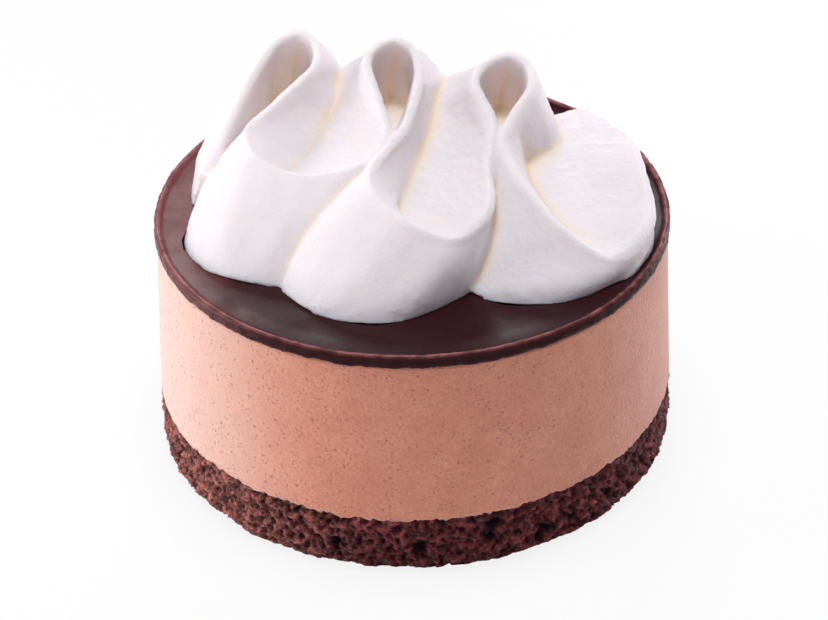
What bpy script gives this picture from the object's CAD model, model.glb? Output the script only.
import math
from typing import NamedTuple

import bmesh
import bpy
import numpy as np
from mathutils import Matrix, Vector, kdtree


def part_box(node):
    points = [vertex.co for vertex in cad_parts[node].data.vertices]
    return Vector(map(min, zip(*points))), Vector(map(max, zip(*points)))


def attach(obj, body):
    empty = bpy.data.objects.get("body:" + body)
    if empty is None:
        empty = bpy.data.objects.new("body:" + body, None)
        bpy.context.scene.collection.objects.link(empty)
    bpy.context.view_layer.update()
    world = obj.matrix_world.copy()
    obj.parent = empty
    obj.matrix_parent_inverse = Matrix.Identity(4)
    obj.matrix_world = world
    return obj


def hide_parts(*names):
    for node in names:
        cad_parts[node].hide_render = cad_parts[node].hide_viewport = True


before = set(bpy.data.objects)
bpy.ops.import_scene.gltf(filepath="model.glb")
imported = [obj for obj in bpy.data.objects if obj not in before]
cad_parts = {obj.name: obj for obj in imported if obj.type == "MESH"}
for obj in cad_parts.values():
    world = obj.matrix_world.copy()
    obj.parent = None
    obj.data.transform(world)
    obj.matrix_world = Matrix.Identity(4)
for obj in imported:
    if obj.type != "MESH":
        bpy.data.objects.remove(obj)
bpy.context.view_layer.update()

MM = 0.001
BODY = "root"

# Where the layers of the cake lie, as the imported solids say.
SPONGE_LOW, SPONGE_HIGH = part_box("sponge_base")
MOUSSE_LOW, MOUSSE_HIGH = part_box("mousse")
GLAZE_LOW, GLAZE_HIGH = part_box("glaze")
CREAM_LOW, CREAM_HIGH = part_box("whipped_cream")
GAP = 0.3 * MM
GLAZE_OVERHANG = 0.3 * MM
SPONGE_TOP = SPONGE_HIGH[2]
MOUSSE_TOP = MOUSSE_HIGH[2]
GLAZE_RADIUS = GLAZE_HIGH[0]
CAKE_RADIUS = GLAZE_RADIUS - GLAZE_OVERHANG
MOUSSE_BASE_RADIUS = MOUSSE_HIGH[0]
SPONGE_RADIUS = SPONGE_HIGH[0]
RIM_TOP = GLAZE_HIGH[2]
GLAZE_TOP = CREAM_LOW[2] - GAP

# The cream ribbon is a wedge: a wide foot on the glaze and a thin lip.
FOOT_THICKNESS = 8.6 * MM
LIP_THICKNESS = 1.1 * MM
TAPER_POWER = 0.85
BULGE = 1.3 * MM
FOOT_DEPTH = 2.0 * MM
TIGHT_BEND = 72  # degrees from one control point to the next, at which the bulge is full
TAIL_STEPS = 16
TAIL_SHARES = (0.75, 0.3)  # of the full thickness, at the first and the last end
STEPS_UP = 32
STEPS_PER_SPAN = 12

# Each turn of the ribbon has POINTS_PER_TURN control points, and one more lies halfway to the next turn.
POINTS_PER_TURN = 5
POINTS_BETWEEN = POINTS_PER_TURN + 1
POINTS_BEFORE = 2

# Cream fills each lobe up to two flanks that meet in a crease, and each loop up to a floor.
FOLD_ROWS = 60
FOLD_COLUMNS = 21
LEFT_FLANK_BULGE = 1.0 * MM
LOOP_FLOOR = 7.0 * MM
BACK_SLOPE = ((4.0 * MM, -14.0 * MM), (3.0 * MM, -6.0 * MM), (1.2 * MM, -1.4 * MM))  # outward, upward

CREAM_VOXEL = 0.34 * MM
CREAM_SMOOTHING = 1
BACK_START = 7.0 * MM
BACK_HEIGHT = 6.0 * MM
BACK_BLEND = 4.0 * MM
BACK_SMOOTHING = 120
SEAM_WAVE = 1.6 * MM
SEAM_RAGGEDNESS = 2.6 * MM
HOLLOW_PASSES = 160
HOLLOW_DEPTH = 1.1 * MM

CREAM_COLOUR = (0.88, 0.83, 0.865, 1)
CREAM_HOLLOW_COLOUR = (0.95, 0.78, 0.60, 1)
MOUSSE_DARK = (0.77, 0.30, 0.20, 1)
MOUSSE_LIGHT = (0.84, 0.36, 0.245, 1)
MOUSSE_GRAIN = (0.60, 0.21, 0.135, 1)
MOUSSE_PIT = (0.46, 0.15, 0.10, 1)
MOUSSE_PALE = (0.93, 0.70, 0.62, 1)
GLAZE_COLOUR = (0.034, 0.0075, 0.0105, 1)
GLAZE_THIN_COLOUR = (0.15, 0.05, 0.05, 1)
GLAZE_CREST_COLOUR = (0.34, 0.12, 0.12, 1)
SPONGE_DARK = (0.022, 0.005, 0.014, 1)
SPONGE_LIGHT = (0.50, 0.10, 0.10, 1)
SPONGE_DRY = (1.0, 0.33, 0.26, 1)
SPONGE_PIT = (0.012, 0.004, 0.009, 1)

FLOOR = 6.0
FLOOR_GLOW = 0.85
WORLD_COLOUR = (0.97, 0.94, 1.0, 1)
WORLD_STRENGTH = 0.06
LAMPS = (
    ("above", (0.0, 0.0, 1.0), (0, 0, 0.03), 0.45, 0.45, 6.6, (1.0, 0.985, 1.0)),
    ("behind", (0.0, 1.0, 0.5), (0, 0, 0.03), 0.4, 0.4, 3.4, (1.0, 0.985, 1.0)),
    ("left", (-0.26, -0.03, 0.045), (0, 0, 0.02), 0.12, 0.12, 0.42, (1.0, 0.985, 0.97)),
    ("left_behind", (-0.75, 0.65, 0.5), (0, 0, 0.03), 0.5, 0.5, 1.3, (1.0, 0.985, 0.97)),
    ("front", (0.0, -1.0, 0.45), (0, 0, 0.03), 0.6, 0.6, 1.7, (1.0, 0.97, 0.99)),
    ("right_behind", (0.22, 0.14, 0.07), (0, 0, 0.03), 0.10, 0.10, 0.22, (1.0, 0.96, 1.0)),
)
LENS = 139.25
CAMERA_BACK = 369.5 * MM
CAMERA_UP = 271.9 * MM
CAMERA_PITCH = 34.46
CAMERA_ROLL = -1.2


class Turn(NamedTuple):
    """One turn of the ribbon, in millimetres: the half ellipses that its lip and foot follow from left to right."""

    side: int  # 1 for a loop at the back, -1 for a lobe at the front
    lip: tuple  # centre x, y
    lip_radii: tuple  # across, along
    lip_lean: float  # degrees, clockwise from above
    lip_height: tuple  # above the glaze, at the left, middle and right
    lip_bow: float  # how far the lip swings to +X on its way to the next turn
    foot: tuple  # centre x, y
    foot_radii: tuple  # across, along
    foot_lean: float  # degrees, clockwise from above
    crease: tuple = ()  # x, y, height where a lobe's two flanks meet: at the back, midway and at the lip
    crease_end: float = 0.0  # share of the lobe's lip, from its left, at which the crease runs out
    flank_sag: float = 0.0  # how far the lobe's right flank hangs below a straight line


START_LIP, START_FOOT = (-28.7, 2.5, 5.5), (-27.2, 2.5, 2.0)
END_LIP, END_FOOT = (24.5, 18.0, 5.3), (22.5, 12.5, 0.0)
TURNS = (
    Turn(1, (-16.4, 14.3), (3.7, 6.2), 13, (16.0, 17.2, 16.2), 0.0, (-19.5, 14.0), (7.0, 7.5), 15),
    Turn(-1, (-12.4, 1.2), (10.0, 7.3), 22, (11.3, 10.0, 13.0), 0.4, (-18.2, -6.5), (8.8, 7.5), 5,
         ((-9.5, 18.5, 12.3), (-11.9, 8.0, 9.2), (-16.4, -4.4, 8.7)), 0.43, 0.2),
    Turn(1, (-2.2, 12.8), (3.5, 5.1), 5, (16.5, 17.2, 15.8), 1.6, (-3.5, 13.0), (6.0, 8.0), 0),
    Turn(-1, (2.8, -8.4), (8.2, 10.9), -15, (11.8, 8.2, 10.9), 1.7, (-5.8, -14.6), (8.4, 8.4), -8,
         ((4.8, 15.5, 12.3), (1.9, 2.5, 9.2), (-2.4, -13.4, 8.4)), 0.28, 0.2),
    Turn(1, (12.9, 8.3), (3.9, 6.0), 12, (15.6, 16.5, 15.4), -0.9, (10.8, 11.0), (6.0, 7.5), 0),
    Turn(-1, (22.3, -0.8), (9.7, 17.5), -15, (11.8, 3.5, 5.5), 2.2, (15.3, -7.9), (11.3, 11.5), 10,
         ((17.0, 11.0, 6.8), (15.9, 0.0, 5.1), (22.2, -15.4, 4.0)), 0.43, -0.5),
)


def spline(points, steps):
    """Centripetal Catmull-Rom curve through the points, with this many steps between two of them."""
    points = np.asarray(points, float)
    points = np.vstack([2 * points[0] - points[1], points, 2 * points[-1] - points[-2]])
    knots = np.concatenate([[0.0], np.cumsum(np.linalg.norm(np.diff(points, axis=0), axis=1) ** 0.5)])
    curve = []
    for i in range(1, len(points) - 2):
        t0, t1, t2, t3 = knots[i - 1 : i + 3]
        for t in np.linspace(t1, t2, steps, endpoint=False):
            a1 = ((t1 - t) * points[i - 1] + (t - t0) * points[i]) / (t1 - t0)
            a2 = ((t2 - t) * points[i] + (t - t1) * points[i + 1]) / (t2 - t1)
            a3 = ((t3 - t) * points[i + 1] + (t - t2) * points[i + 2]) / (t3 - t2)
            b1 = ((t2 - t) * a1 + (t - t0) * a2) / (t2 - t0)
            b2 = ((t3 - t) * a2 + (t - t1) * a3) / (t3 - t1)
            curve.append(((t2 - t) * b1 + (t - t1) * b2) / (t2 - t1))
    return np.array([*curve, points[-2]])


def half_ellipse(centre, radii, lean, side, heights):
    """Control points (x, y, height) of a turn, from its left to its right, in millimetres."""
    angle = math.radians(lean)
    across = np.array([math.cos(angle), -math.sin(angle)]) * radii[0]
    along = np.array([math.sin(angle), math.cos(angle)]) * radii[1] * side
    points = []
    for share in np.linspace(0, 1, POINTS_PER_TURN):
        x, y = centre - across * math.cos(share * math.pi) + along * math.sin(share * math.pi)
        points.append((x, y, np.interp(share, (0, 0.5, 1), heights)))
    return np.array(points)


def ribbon_edges():
    """The ribbon's lip and foot, as two curves with matching points, in metres above the glaze."""
    lip, foot = [np.array(START_LIP)], [np.array(START_FOOT)]
    bow = 0.0
    for turn in TURNS:
        lip_points = half_ellipse(turn.lip, turn.lip_radii, turn.lip_lean, turn.side, turn.lip_height)
        foot_points = half_ellipse(turn.foot, turn.foot_radii, turn.foot_lean, turn.side, (0, 0, 0))
        lip += [(lip[-1] + lip_points[0]) / 2 + (bow, 0, 0), *lip_points]
        foot += [(foot[-1] + foot_points[0]) / 2, *foot_points]
        bow = turn.lip_bow
    lip += [(lip[-1] + END_LIP) / 2 + (bow, 0, 0), np.array(END_LIP)]
    foot += [(foot[-1] + END_FOOT) / 2, np.array(END_FOOT)]
    both = spline(np.hstack([lip, foot]), STEPS_PER_SPAN) * MM
    return both[:, :3], both[:, 3:]


def ribbon_sheet():
    """The ribbon's middle surface, from its foot just under the glaze's top to its lip, as a grid of points."""
    lip, foot = ribbon_edges()
    foot[:, 2] -= FOOT_DEPTH
    along = np.gradient(foot + lip, axis=0)
    outward = np.stack([along[:, 1], -along[:, 0], np.zeros(len(along))], axis=1)
    outward /= np.linalg.norm(outward, axis=1)[:, None]
    bend = np.gradient(np.unwrap(np.arctan2(along[:, 1], along[:, 0])))
    outward *= np.clip(bend / np.radians(TIGHT_BEND / STEPS_PER_SPAN), -1, 1)[:, None]
    rows = []
    for up in np.linspace(0, 1, STEPS_UP + 1):
        swell = BULGE * math.sin(math.pi * min(1.0, up * 1.15))
        rows.append(foot + (lip - foot) * up + outward * swell + (0, 0, GLAZE_TOP))
    return np.array(rows)


def flank(start, end, sag):
    """Points from start to end along a parabola that hangs this much below the straight line."""
    share = np.linspace(0, 1, FOLD_COLUMNS)[:, None]
    return start + (end - start) * share - (0, 0, 4 * sag) * share * (1 - share)


def fold_surface(index):
    """The top of the cream inside a lobe, as a grid of points: two flanks that fall from the lips to a crease."""
    lobe = TURNS[index]
    lip, _ = ribbon_edges()
    first = POINTS_BEFORE + index * POINTS_BETWEEN
    left = (first - POINTS_BETWEEN + POINTS_PER_TURN // 2 + 1) * STEPS_PER_SPAN
    meet = (first + lobe.crease_end * (POINTS_PER_TURN - 1)) * STEPS_PER_SPAN
    right = min(len(lip) - 1, (first + POINTS_BETWEEN + 1) * STEPS_PER_SPAN)
    crease = spline(lobe.crease, FOLD_ROWS // 2) * MM
    rows = []
    for point, share in zip(crease, np.linspace(0, 1, len(crease))):
        from_left, from_right = lip[round(left + (meet - left) * share)], lip[round(right + (meet - right) * share)]
        down = flank(from_left, point, -LEFT_FLANK_BULGE * (1 - share))
        up = flank(point, from_right, lobe.flank_sag * MM * (1 - share))
        rows.append(np.vstack([down, up[1:]]))
    back = [rows[0] + (0, outward, upward) for outward, upward in BACK_SLOPE]
    points = np.array([*back, *rows])
    points[:, :, 2] = np.maximum(points[:, :, 2], -FOOT_DEPTH / 2) + GLAZE_TOP
    return points


def loop_floor(index):
    """The level bottom of a loop's pocket, as two rows of points that face each other across the pocket."""
    lip, foot = ribbon_edges()
    first = POINTS_BEFORE + index * POINTS_BETWEEN
    start, end = (first - 1) * STEPS_PER_SPAN, (first + POINTS_PER_TURN) * STEPS_PER_SPAN
    wall = (lip[start : end + 1] + foot[start : end + 1]) / 2
    wall[:, 2] = GLAZE_TOP + LOOP_FLOOR
    half = len(wall) // 2
    return np.array([wall[:half], wall[-half:][::-1]])


class Value:
    """A socket of a node tree, on which arithmetic adds Math nodes."""

    def __init__(self, nodes, socket):
        self.nodes = nodes
        self.socket = socket

    def __add__(self, other):
        return self.nodes.math("ADD", self, other)

    def __sub__(self, other):
        return self.nodes.math("SUBTRACT", self, other)

    def __rsub__(self, other):
        return self.nodes.math("SUBTRACT", other, self)

    def __mul__(self, other):
        return self.nodes.math("MULTIPLY", self, other)

    def __truediv__(self, other):
        return self.nodes.math("DIVIDE", self, other)

    __radd__ = __add__
    __rmul__ = __mul__

    def clamped(self):
        """This value held between 0 and 1."""
        return self.nodes.math("MAXIMUM", self.nodes.math("MINIMUM", self, 1.0), 0.0)

    def above(self, low, high):
        """0 below low, 1 above high and smooth between them."""
        sockets = {"Value": self, "From Min": low, "From Max": high}
        return self.nodes.add("ShaderNodeMapRange", {"interpolation_type": "SMOOTHSTEP"}, sockets)


class Nodes:
    """A node tree that is written as Python expressions."""

    def __init__(self, tree):
        self.tree = tree
        tree.nodes.clear()

    def add(self, kind, settings=None, sockets=None, output=0):
        """A new node with these settings, and with these values or links at its inputs."""
        node = self.tree.nodes.new(kind)
        for name, value in (settings or {}).items():
            setattr(node, name, value)
        for key, value in (sockets or {}).items():
            if isinstance(value, Value):
                self.tree.links.new(value.socket, node.inputs[key])
            else:
                node.inputs[key].default_value = value
        outputs = node.outputs
        return Value(self, outputs[output]) if len(outputs) else node

    def math(self, operation, *values):
        return self.add("ShaderNodeMath", {"operation": operation}, dict(enumerate(values)))

    def vector(self, operation, *values, scale=None):
        sockets = dict(enumerate(values))
        if scale is not None:
            sockets["Scale"] = scale
        return self.add("ShaderNodeVectorMath", {"operation": operation}, sockets)

    def split(self, vector):
        """The x, y and z of a vector."""
        parts = self.add("ShaderNodeSeparateXYZ", None, {0: vector})
        return [Value(self, socket) for socket in parts.socket.node.outputs]

    def join(self, x, y, z):
        return self.add("ShaderNodeCombineXYZ", None, {0: x, 1: y, 2: z})

    def noise(self, vector, size, detail=2.0, roughness=0.5):
        """Smooth noise from 0 to 1 with blobs about as large as size, in the vector's units."""
        sockets = {"Vector": vector, "Scale": 1 / size, "Detail": detail, "Roughness": roughness}
        return self.add("ShaderNodeTexNoise", None, sockets)

    def cells(self, vector, size, output="Distance", randomness=1.0):
        """The distance, in cells, to the nearest of points that lie about size apart."""
        sockets = {"Vector": vector, "Scale": 1 / size, "Randomness": randomness}
        return self.add("ShaderNodeTexVoronoi", None, sockets, output)

    def noise_vector(self, vector, size, detail=2.0):
        """Smooth noise in each of three directions."""
        return self.add("ShaderNodeTexNoise", None, {"Vector": vector, "Scale": 1 / size, "Detail": detail}, "Color")

    def mix(self, factor, first, second):
        """A colour between two colours."""
        return self.add("ShaderNodeMix", {"data_type": "RGBA"}, {0: factor, 6: first, 7: second}, 2)

    def bump(self, height, distance, strength=1.0):
        return self.add("ShaderNodeBump", None, {"Height": height, "Distance": distance, "Strength": strength})


def finish(name, colour, roughness, constants, normal=None, coat=None):
    """A material whose colour, roughness, normal and coat are functions of its Nodes, or plain values."""
    made = bpy.data.materials.new(name)
    made.use_nodes = True
    nodes = Nodes(made.node_tree)
    sockets = {"Base Color": colour(nodes) if callable(colour) else (*colour, 1.0)}
    sockets["Roughness"] = roughness(nodes) if callable(roughness) else roughness
    if normal:
        sockets["Normal"] = normal(nodes)
    sockets.update(constants)
    shader = nodes.add("ShaderNodeBsdfPrincipled", None, sockets)
    nodes.add("ShaderNodeOutputMaterial", None, {"Surface": shader})
    return made


def place(nodes):
    """Where on the cake a point of a surface lies, in metres."""
    return nodes.add("ShaderNodeTexCoord", None, None, "Object")


def grid(points):
    """A surface through the grid of points, row by row."""
    shape = bmesh.new()
    corners = [[shape.verts.new(point) for point in row] for row in points]
    for upper, lower in zip(corners, corners[1:]):
        for j in range(len(upper) - 1):
            shape.faces.new((upper[j], upper[j + 1], lower[j + 1], lower[j]))
    return shape


def to_mesh(shape, name):
    """The mesh of a finished shape."""
    mesh = bpy.data.meshes.new(name)
    shape.to_mesh(mesh)
    shape.free()
    return mesh


def add(name, mesh):
    made = bpy.data.objects.new(name, mesh)
    bpy.context.scene.collection.objects.link(made)
    return made


def settled(made):
    """The object with its modifiers applied."""
    mesh = bpy.data.meshes.new_from_object(made.evaluated_get(bpy.context.evaluated_depsgraph_get()))
    made.modifiers.clear()
    old, made.data = made.data, mesh
    mesh.name = made.name
    bpy.data.meshes.remove(old)
    return made


def turned(name, corners, step, steps):
    """A solid of revolution, whose corners (radius, height) run from the top of the axis, down its side, to the bottom."""
    profile = [corners[0]]
    for start, end in zip(corners, corners[1:]):
        start, end = np.array(start), np.array(end)
        flat = 8 if min(start[0], end[0]) < CAKE_RADIUS / 2 else 1
        count = max(1, math.ceil(np.linalg.norm(end - start) / (step * flat)))
        profile += [tuple(start + (end - start) * (i + 1) / count) for i in range(count)]
    mesh = bpy.data.meshes.new(name)
    mesh.from_pydata([(r, 0, z) for r, z in profile], [(i, i + 1) for i in range(len(profile) - 1)], [])
    made = add(name, mesh)
    screw = made.modifiers.new("turn", "SCREW")
    screw.steps = screw.render_steps = steps
    screw.use_merge_vertices = True
    screw.merge_threshold = 0.000001
    screw.use_smooth_shade = True
    return settled(made)


def reshape(made, material, build, **sizes):
    """Shapes the object with a Geometry Nodes tree. build returns each point's shift and the marks to store on it."""
    tree = bpy.data.node_groups.new(made.name, "GeometryNodeTree")
    nodes = Nodes(tree)
    tree.interface.new_socket("Geometry", in_out="INPUT", socket_type="NodeSocketGeometry")
    tree.interface.new_socket("Geometry", in_out="OUTPUT", socket_type="NodeSocketGeometry")
    named = {}
    for size in sizes:
        name = size.replace("_", " ").capitalize()
        named[size] = tree.interface.new_socket(name, in_out="INPUT", socket_type="NodeSocketFloat").identifier
    source = nodes.add("NodeGroupInput")
    given = {size: Value(nodes, source.socket.node.outputs[i + 1]) for i, size in enumerate(sizes)}
    position = nodes.add("GeometryNodeInputPosition")
    normal = nodes.add("GeometryNodeInputNormal")
    shift, marks = build(nodes, position, normal, **given)
    geometry = source
    for mark, value in marks.items():
        stored = {"Geometry": geometry, "Name": mark, "Value": value}
        geometry = nodes.add("GeometryNodeStoreNamedAttribute", {"data_type": "FLOAT", "domain": "POINT"}, stored)
    geometry = nodes.add("GeometryNodeSetPosition", None, {"Geometry": geometry, "Offset": shift})
    geometry = nodes.add("GeometryNodeRealizeInstances", None, {"Geometry": geometry})
    geometry = nodes.add("GeometryNodeSetMaterial", None, {"Geometry": geometry, "Material": material})
    nodes.add("NodeGroupOutput", None, {0: geometry})
    modifier = made.modifiers.new(made.name, "NODES")
    modifier.node_group = tree
    for size, value in sizes.items():
        modifier[named[size]] = value
    return settled(made)


def seam_rise(nodes, position, wave, ragged):
    """How far the uneven line between sponge and mousse lies above its mean height."""
    x, y, _ = nodes.split(position)
    ring = nodes.join(x, y, 0.0)
    slow = nodes.noise(ring, 24 * MM, 1.0) - 0.5
    fine = nodes.noise(ring, 1.3 * MM, 3.0, 0.65) - 0.5
    return slow * wave + fine * ragged


def crumb(nodes, position, normal, seam_wave, seam_raggedness, pit_depth, crumb_depth, edge_loss):
    """Open pits and crumbs all over the sponge's side, and its ragged edges."""
    x, y, z = nodes.split(position)
    bend = nodes.vector("SUBTRACT", nodes.noise_vector(position, 1.6 * MM, 2.0), (0.5, 0.5, 0.5))
    bent = nodes.vector("MULTIPLY_ADD", bend, (1.4 * MM, 1.4 * MM, 1.4 * MM), position)
    large = 1 - nodes.cells(bent, 2.8 * MM).above(0.18, 0.55)
    medium = 1 - nodes.cells(bent, 1.1 * MM).above(0.2, 0.6)
    chosen = nodes.noise(position, 3.0 * MM, 1.0).above(0.42, 0.62)
    rough = nodes.noise(position, 0.9 * MM, 4.0, 0.7) - 0.5
    pit = nodes.math("MAXIMUM", large * chosen, medium * 0.6)
    side = nodes.math("SQRT", x * x + y * y).above(SPONGE_RADIUS - 3.0 * MM, SPONGE_RADIUS - 2.0 * MM)
    low = 1 - (z / SPONGE_TOP).above(0.0, 0.3)
    lumps = nodes.noise(position, 5.0 * MM, 2.0) - 0.35
    inward = (pit * pit_depth - rough * crumb_depth + low * lumps * edge_loss) * side
    out = nodes.vector("NORMALIZE", nodes.join(x, y, 0.0))
    rise = seam_rise(nodes, position, seam_wave, seam_raggedness) * (z / SPONGE_TOP).above(0.35, 1.0)
    lift = nodes.math("MAXIMUM", rise + low * side * rough * crumb_depth * 0.8, 0 - z)
    shift = nodes.vector("ADD", nodes.vector("SCALE", out, scale=inward * -1), nodes.join(0.0, 0.0, lift))
    return shift, {"pit": pit, "crumb": rough + 0.5}


def seam(nodes, position, normal, seam_wave, seam_raggedness, waviness):
    """The mousse's lower edge follows the sponge, and its side isn't quite round."""
    x, y, z = nodes.split(position)
    near = 1 - ((z - SPONGE_TOP) / (6 * MM)).above(0.0, 1.0)
    wave = (nodes.noise(position, 14 * MM, 2.0) - 0.5) * waviness
    out = nodes.vector("NORMALIZE", nodes.join(x, y, 0.0))
    rise = seam_rise(nodes, position, seam_wave, seam_raggedness) * near
    side = nodes.math("SQRT", x * x + y * y).above(CAKE_RADIUS - 2 * MM, CAKE_RADIUS)
    shift = nodes.vector("ADD", nodes.vector("SCALE", out, scale=wave * side), nodes.join(0.0, 0.0, rise))
    return shift, {"low": near}


def pool(nodes, position, normal, rim_wave, drip, ripple, dent):
    """The glaze's rim rises and falls, its lower edge creeps down unevenly and its top is not quite level."""
    x, y, z = nodes.split(position)
    radius = nodes.math("SQRT", x * x + y * y)
    ring = nodes.join(x, y, 0.0)
    rim = radius.above(GLAZE_RADIUS - 1.8 * MM, GLAZE_RADIUS - 0.6 * MM)
    top = z.above(GLAZE_TOP - 0.8 * MM, GLAZE_TOP - 0.1 * MM)
    rise = (nodes.noise(ring, 6 * MM, 3.0, 0.6) - 0.5) * rim_wave * rim * top
    ripples = (nodes.noise(ring, 11 * MM, 2.0) - 0.5) * ripple * top * (1 - rim)
    sag = (nodes.noise(ring, 2.2 * MM, 3.0, 0.6) - 0.5) * drip * rim * (1 - top)
    dents = (nodes.noise(position, 1.1 * MM, 3.0) - 0.5) * dent * rim
    out = nodes.vector("NORMALIZE", ring)
    shift = nodes.vector("ADD", nodes.vector("SCALE", out, scale=dents), nodes.join(0.0, 0.0, rise + ripples + sag))
    crest = 1 - (nodes.math("ABSOLUTE", radius - (GLAZE_RADIUS - 0.45 * MM)) / (0.5 * MM)).above(0.2, 1.0)
    return shift, {"crest": crest * top, "side": rim * (1 - top)}


def whipped(nodes, position, normal, streak_height, lump_height, bubble_height):
    """Fine streaks that the nozzle drew across the ribbon, soft lumps and burst bubbles."""
    flow = nodes.add("GeometryNodeInputNamedAttribute", {"data_type": "FLOAT_VECTOR"}, {"Name": "flow"})
    along, up, open_side = nodes.split(flow)
    streak = nodes.noise(nodes.join(along, up * 0.3, 0.0), 0.9 * MM, 3.0, 0.6) - 0.5
    lump = nodes.noise(position, 3.2 * MM, 2.0) - 0.5
    bubble = nodes.noise(position, 0.7 * MM, 2.0) - 0.5
    foot = 1 - ((nodes.split(position)[2] - GLAZE_TOP) / (2.5 * MM)).above(0.1, 1.0)
    height = streak * streak_height * (0.35 + open_side) + lump * lump_height
    height = height + bubble * bubble_height * (0.3 + foot * 1.6 + open_side)
    clear = ((nodes.split(position)[2] - GLAZE_TOP) / (0.6 * MM)).above(0.4, 1.0)
    return nodes.vector("SCALE", normal, scale=height * clear), {}


def wedge():
    """The ribbon's sheet as a solid, which is thick at its foot, thin at its lip and slender at its two tails."""
    sheet = ribbon_sheet()
    rows, columns = sheet.shape[:2]
    ribbon = add("ribbon", to_mesh(grid(sheet), "ribbon"))
    thickness = ribbon.vertex_groups.new(name="thickness")
    ends = (0, TAIL_STEPS, columns - 1 - TAIL_STEPS, columns - 1)
    tail = np.interp(np.arange(columns), ends, (TAIL_SHARES[0], 1, 1, TAIL_SHARES[1]))
    for index in range(rows * columns):
        share = (1 - (index // columns) / (rows - 1)) ** TAPER_POWER * tail[index % columns]
        thickness.add([index], share + (1 - share) * LIP_THICKNESS / FOOT_THICKNESS, "REPLACE")
    solidify = ribbon.modifiers.new("wedge", "SOLIDIFY")
    solidify.thickness = FOOT_THICKNESS
    solidify.offset = 0
    solidify.vertex_group = thickness.name
    mesh = bpy.data.meshes.new_from_object(ribbon.evaluated_get(bpy.context.evaluated_depsgraph_get()))
    bpy.data.objects.remove(ribbon)
    return mesh


def filled_below(points, name):
    """The surface through the points, with everything from it down into the glaze made solid."""
    shape = grid(points)
    below = bmesh.ops.extrude_face_region(shape, geom=shape.faces[:])
    for item in below["geom"]:
        if isinstance(item, bmesh.types.BMVert):
            item.co.z = GLAZE_TOP - FOOT_DEPTH
    bmesh.ops.recalc_face_normals(shape, faces=shape.faces[:])
    return to_mesh(shape, name)


def flow_samples():
    """Points on the ribbon and in its folds, each with its place along the ribbon, up it, and 1 where it lies open."""
    places, flows = [], []
    sheet = ribbon_sheet()
    lip = sheet[-1]
    length = np.concatenate([[0], np.cumsum(np.linalg.norm(np.diff(lip, axis=0), axis=1))])
    for row, up in zip(sheet[::2], np.linspace(0, 1, STEPS_UP + 1)[::2]):
        places += list(row)
        flows += [(s, up * 16 * MM, 0.0) for s in length]
    for index, turn in enumerate(TURNS):
        if turn.side > 0:
            continue
        surface = fold_surface(index)[len(BACK_SLOPE) :]
        for row in surface:
            for j in range(0, len(row), 2):
                nearest = np.argmin(np.linalg.norm(lip - row[j], axis=1))
                if j >= FOLD_COLUMNS:
                    nearest = np.argmin(np.linalg.norm(lip - row[-1], axis=1))
                places.append(row[j])
                flows.append((length[nearest], j * 0.5 * MM, 1.0 if j >= FOLD_COLUMNS else 0.3))
    return places, flows


def mark_flow(mesh):
    """Stores on each point of the cream where it lies on the ribbon."""
    places, flows = flow_samples()
    tree = kdtree.KDTree(len(places))
    for i, point in enumerate(places):
        tree.insert(point, i)
    tree.balance()
    flow = mesh.attributes.new("flow", "FLOAT_VECTOR", "POINT")
    values = np.empty((len(mesh.vertices), 3), np.float32)
    for i, vertex in enumerate(mesh.vertices):
        near = tree.find_n(vertex.co, 4)
        weights = np.array([1 / (item[2] + 0.1 * MM) for item in near])
        values[i] = (np.array([flows[item[1]] for item in near]) * weights[:, None]).sum(0) / weights.sum()
    flow.data.foreach_set("vector", values.ravel())


def mark_hollows(made):
    """Stores how deep each point lies in a crease or a pocket, from 0 to 1."""
    mesh = made.data
    points = np.empty(len(mesh.vertices) * 3, np.float32)
    mesh.vertices.foreach_get("co", points)
    normals = np.empty_like(points)
    mesh.vertices.foreach_get("normal", normals)
    edges = np.empty(len(mesh.edges) * 2, np.int32)
    mesh.edges.foreach_get("vertices", edges)
    points, normals, edges = points.reshape(-1, 3), normals.reshape(-1, 3), edges.reshape(-1, 2)
    count = np.bincount(edges.ravel(), minlength=len(points))[:, None]
    soft = points.astype(float)
    for _ in range(HOLLOW_PASSES):
        total = np.empty_like(soft)
        for axis in range(3):
            there = np.bincount(edges[:, 0], soft[edges[:, 1], axis], len(soft))
            total[:, axis] = there + np.bincount(edges[:, 1], soft[edges[:, 0], axis], len(soft))
        soft = soft * 0.5 + total / count * 0.5
    depth = ((soft - points) * normals).sum(axis=1)
    hollow = mesh.attributes.new("hollow", "FLOAT", "POINT")
    hollow.data.foreach_set("value", np.clip(depth / HOLLOW_DEPTH, 0, 1).astype(np.float32))


def whipped_cream(material):
    """One ribbon of piped cream, folded into three loops at the back and three lobes at the front."""
    shape = bmesh.new()
    shape.from_mesh(wedge())
    for index, turn in enumerate(TURNS):
        points = loop_floor(index) if turn.side > 0 else fold_surface(index)
        shape.from_mesh(filled_below(points, "fill"))
    made = add("cream_ribbon", to_mesh(shape, "cream_ribbon"))
    remesh = made.modifiers.new("one body", "REMESH")
    remesh.mode = "VOXEL"
    remesh.voxel_size = CREAM_VOXEL
    remesh.use_smooth_shade = True
    smooth = made.modifiers.new("soften", "SMOOTH")
    smooth.factor = 0.5
    smooth.iterations = CREAM_SMOOTHING
    settled(made)
    soften_back(made)
    lie_on_glaze(made.data)
    mark_flow(made.data)
    mark_hollows(made)
    return reshape(made, material, whipped, streak_height=0.26 * MM, lump_height=0.35 * MM, bubble_height=0.20 * MM)


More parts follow.
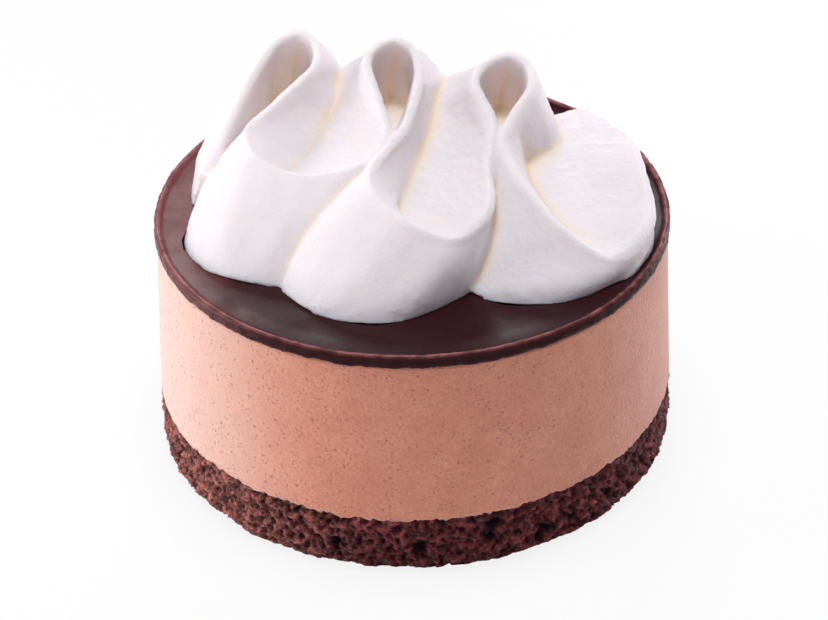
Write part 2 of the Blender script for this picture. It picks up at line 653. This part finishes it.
def soften_back(made):
    """Rounds the low cream behind the fan, where the ribbon ends."""
    low = made.vertex_groups.new(name="low at the back")
    for vertex in made.data.vertices:
        behind = (vertex.co.y - BACK_START) / BACK_BLEND
        below = (GLAZE_TOP + BACK_HEIGHT - vertex.co.z) / BACK_BLEND
        weight = min(1.0, max(0.0, behind)) * min(1.0, max(0.0, below))
        if weight > 0:
            low.add([vertex.index], weight, "REPLACE")
    smooth = made.modifiers.new("soften the back", "SMOOTH")
    smooth.factor = 0.5
    smooth.iterations = BACK_SMOOTHING
    smooth.vertex_group = low.name
    settled(made)


def lie_on_glaze(mesh):
    """Flattens the cream's foot onto the glaze, with its rim."""
    for vertex in mesh.vertices:
        radius = math.hypot(vertex.co.x, vertex.co.y)
        rim = (RIM_TOP - GLAZE_TOP) * min(1.0, max(0.0, (radius - GLAZE_RADIUS + 1.6 * MM) / (1.0 * MM)))
        vertex.co.z = max(vertex.co.z, GLAZE_TOP + rim + 0.05 * MM)
    mesh.update()


def sponge(material):
    edge = 1.4 * MM
    corners = [
        (0, SPONGE_TOP),
        (MOUSSE_BASE_RADIUS - 0.1 * MM, SPONGE_TOP),
        (SPONGE_RADIUS, edge),
        (SPONGE_RADIUS - 0.4 * edge, 0.4 * edge),
        (SPONGE_RADIUS - edge, 0),
        (0, 0),
    ]
    made = turned("sponge_crumb", corners, 0.26 * MM, 840)
    return reshape(made, material, crumb, seam_wave=SEAM_WAVE, seam_raggedness=SEAM_RAGGEDNESS,
                   pit_depth=1.6 * MM, crumb_depth=1.8 * MM, edge_loss=1.8 * MM)


def mousse(material):
    bottom = SPONGE_TOP + 0.05 * MM
    top = MOUSSE_TOP + 0.2 * MM
    corners = [(0, top), (CAKE_RADIUS, top), (MOUSSE_BASE_RADIUS, bottom), (0, bottom)]
    made = turned("mousse_layer", corners, 0.5 * MM, 560)
    return reshape(made, material, seam, seam_wave=SEAM_WAVE, seam_raggedness=SEAM_RAGGEDNESS, waviness=0.12 * MM)


def glaze(material):
    bottom = MOUSSE_TOP + 0.25 * MM
    crown = RIM_TOP - GLAZE_TOP
    corners = [
        (0, GLAZE_TOP),
        (GLAZE_RADIUS - 1.5 * MM, GLAZE_TOP),
        (GLAZE_RADIUS - 0.9 * MM, GLAZE_TOP + crown * 0.4),
        (GLAZE_RADIUS - 0.5 * MM, RIM_TOP),
        (GLAZE_RADIUS - 0.15 * MM, RIM_TOP - 0.1 * MM),
        (GLAZE_RADIUS, RIM_TOP - 0.4 * MM),
        (GLAZE_RADIUS, bottom + 0.3 * MM),
        (GLAZE_RADIUS - 0.2 * MM, bottom),
        (0, bottom),
    ]
    made = turned("glaze_layer", corners, 0.35 * MM, 640)
    return reshape(made, material, pool, rim_wave=0.45 * MM, drip=1.1 * MM, ripple=0.12 * MM, dent=0.45 * MM)


def cream_finish():
    def colour(nodes):
        hollow = nodes.add("ShaderNodeAttribute", {"attribute_name": "hollow"}, None, "Fac")
        return nodes.mix(hollow.above(0.0, 1.0), CREAM_COLOUR, CREAM_HOLLOW_COLOUR)

    def normal(nodes):
        where = place(nodes)
        patch = nodes.noise(where, 5 * MM, 2.0).above(0.4, 0.65)
        bubbles = nodes.noise(where, 0.45 * MM, 3.0, 0.65)
        burst = 1 - nodes.cells(where, 1.5 * MM).above(0.10, 0.24)
        return nodes.bump(bubbles * (0.5 + patch) - burst * 0.15, 0.13 * MM, 1.0)

    constants = {"Subsurface Weight": 0.75, "Subsurface Radius": (1.0, 0.8, 0.62), "Subsurface Scale": 2.0 * MM,
                 "Specular IOR Level": 0.35}
    return finish("whipped_cream_finish", colour, 0.5, constants, normal)


def mousse_finish():
    def pits(nodes):
        where = place(nodes)
        fine = 1 - nodes.cells(where, 0.55 * MM).above(0.12, 0.34)
        chosen = nodes.noise(where, 1.7 * MM, 2.0).above(0.42, 0.60)
        coarse = 1 - nodes.cells(where, 1.9 * MM).above(0.06, 0.14)
        return nodes.math("MAXIMUM", fine * chosen, coarse)

    def colour(nodes):
        where = place(nodes)
        cloud = nodes.noise(where, 6 * MM, 3.0, 0.6).above(0.3, 0.7)
        grain = nodes.noise(where, 0.4 * MM, 3.0, 0.7).above(0.35, 0.65)
        base = nodes.mix(cloud, MOUSSE_DARK, MOUSSE_LIGHT)
        base = nodes.mix(grain * 0.5, base, MOUSSE_GRAIN)
        base = nodes.mix((0 - nodes.split(where)[0] / CAKE_RADIUS).above(0.35, 1.1) * 0.8, base, MOUSSE_PALE)
        return nodes.mix(pits(nodes) * 0.7, base, MOUSSE_PIT)

    def normal(nodes):
        where = place(nodes)
        grain = nodes.noise(where, 0.45 * MM, 3.0, 0.6)
        return nodes.bump(grain - pits(nodes) * 0.6, 0.16 * MM, 0.9)

    constants = {"Subsurface Weight": 0.25, "Subsurface Radius": (1.0, 0.35, 0.25), "Subsurface Scale": 0.8 * MM,
                 "Specular IOR Level": 0.5, "Sheen Weight": 0.4, "Sheen Roughness": 0.4}
    return finish("mousse_finish", colour, 0.5, constants, normal)


def glaze_finish():
    def colour(nodes):
        crest = nodes.add("ShaderNodeAttribute", {"attribute_name": "crest"}, None, "Fac")
        broken = nodes.noise(place(nodes), 2.5 * MM, 3.0, 0.6).above(0.4, 0.6)
        thin = nodes.noise(place(nodes), 4 * MM, 3.0, 0.6) * 0.4 - nodes.split(place(nodes))[0] / GLAZE_RADIUS
        body = nodes.mix(thin.above(0.72, 1.1), GLAZE_COLOUR, GLAZE_THIN_COLOUR)
        return nodes.mix(crest * (0.4 + broken * 0.6), body, GLAZE_CREST_COLOUR)

    def roughness(nodes):
        crest = nodes.add("ShaderNodeAttribute", {"attribute_name": "crest"}, None, "Fac")
        return 0.24 + nodes.noise(place(nodes), 5 * MM, 3.0).above(0.4, 0.7) * 0.13 - crest * 0.14

    def normal(nodes):
        side = nodes.add("ShaderNodeAttribute", {"attribute_name": "side"}, None, "Fac")
        fine = nodes.noise(place(nodes), 0.5 * MM, 3.0, 0.6)
        return nodes.bump(fine * (0.08 + side), 0.25 * MM, 1.0)

    constants = {"Specular IOR Level": 0.08}
    return finish("glaze_finish", colour, roughness, constants, normal)


def sponge_finish():
    def colour(nodes):
        where = place(nodes)
        pit = nodes.add("ShaderNodeAttribute", {"attribute_name": "pit"}, None, "Fac")
        grain = nodes.noise(where, 0.6 * MM, 4.0, 0.75).above(0.38, 0.66)
        dry = (0 - nodes.split(where)[0] / SPONGE_RADIUS).above(0.1, 0.8)
        crumb_height = nodes.add("ShaderNodeAttribute", {"attribute_name": "crumb"}, None, "Fac")
        light = grain * 0.6 + crumb_height.above(0.44, 0.66) * 0.6
        base = nodes.mix(light.clamped(), SPONGE_DARK, nodes.mix(dry, SPONGE_LIGHT, SPONGE_DRY))
        return nodes.mix(pit.above(0.15, 0.7), base, SPONGE_PIT)

    def normal(nodes):
        rough = nodes.noise(place(nodes), 0.5 * MM, 4.0, 0.7)
        return nodes.bump(rough, 0.9 * MM, 1.0)

    return finish("sponge_finish", colour, 0.33, {"Specular IOR Level": 0.35}, normal)


def floor():
    """A pale floor, which shows as white where no shadow lies."""
    made = add("floor", to_mesh(grid([[(-FLOOR, -FLOOR, 0), (FLOOR, -FLOOR, 0)], [(-FLOOR, FLOOR, 0), (FLOOR, FLOOR, 0)]]), "floor"))
    material = bpy.data.materials.new("floor_finish")
    material.use_nodes = True
    nodes = Nodes(material.node_tree)
    paint = nodes.add("ShaderNodeBsdfDiffuse", None, {"Color": (0.9, 0.9, 0.9, 1)})
    glow = nodes.add("ShaderNodeEmission", None, {"Color": (1, 1, 1, 1), "Strength": 1.0})
    seen = nodes.add("ShaderNodeLightPath", None, None, "Is Camera Ray")
    surface = nodes.add("ShaderNodeMixShader", None, {0: seen * FLOOR_GLOW, 1: paint, 2: glow})
    nodes.add("ShaderNodeOutputMaterial", None, {"Surface": surface})
    made.data.materials.append(material)


def lamp(name, place, aim, width, height, power, colour=(1, 1, 1)):
    """A soft rectangular lamp that faces a point."""
    data = bpy.data.lights.new(name, "AREA")
    data.shape = "RECTANGLE"
    data.size, data.size_y, data.energy, data.color = width, height, power, colour
    made = bpy.data.objects.new(name, data)
    made.location = place
    made.rotation_euler = (Vector(place) - Vector(aim)).to_track_quat("Z", "Y").to_euler()
    bpy.context.scene.collection.objects.link(made)


def studio():
    """Plain soft light, mostly from the left, and a white surround."""
    world = bpy.data.worlds.new("studio")
    world.use_nodes = True
    nodes = Nodes(world.node_tree)
    path = nodes.add("ShaderNodeLightPath")
    outputs = path.socket.node.outputs
    seen = Value(nodes, outputs["Is Camera Ray"])
    soft = nodes.add("ShaderNodeBackground", None, {"Color": WORLD_COLOUR, "Strength": WORLD_STRENGTH})
    white = nodes.add("ShaderNodeBackground", None, {"Color": (1, 1, 1, 1), "Strength": 1.0})
    nodes.add("ShaderNodeOutputWorld", None, {0: nodes.add("ShaderNodeMixShader", None, {0: seen, 1: soft, 2: white})})
    bpy.context.scene.world = world
    for settings in LAMPS:
        lamp(*settings)


def camera():
    """A long lens, looking down at the cake from the front, tilted a little to one side."""
    data = bpy.data.cameras.new("camera")
    data.sensor_width = 36.0
    data.lens = LENS
    data.clip_start, data.clip_end = 0.01, 20.0
    made = bpy.data.objects.new("camera", data)
    turn = Matrix.Rotation(math.radians(90 - CAMERA_PITCH), 4, "X") @ Matrix.Rotation(math.radians(CAMERA_ROLL), 4, "Z")
    made.matrix_world = Matrix.Translation((0, -CAMERA_BACK, CAMERA_UP)) @ turn
    bpy.context.scene.collection.objects.link(made)
    bpy.context.scene.camera = made


def rest_on(made, node):
    """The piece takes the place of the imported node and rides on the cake."""
    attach(made, BODY)
    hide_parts(node)


def main():
    bpy.context.scene.view_settings.view_transform = "Standard"
    rest_on(sponge(sponge_finish()), "sponge_base")
    rest_on(mousse(mousse_finish()), "mousse")
    rest_on(glaze(glaze_finish()), "glaze")
    rest_on(whipped_cream(cream_finish()), "whipped_cream")
    floor()
    studio()
    camera()


main()
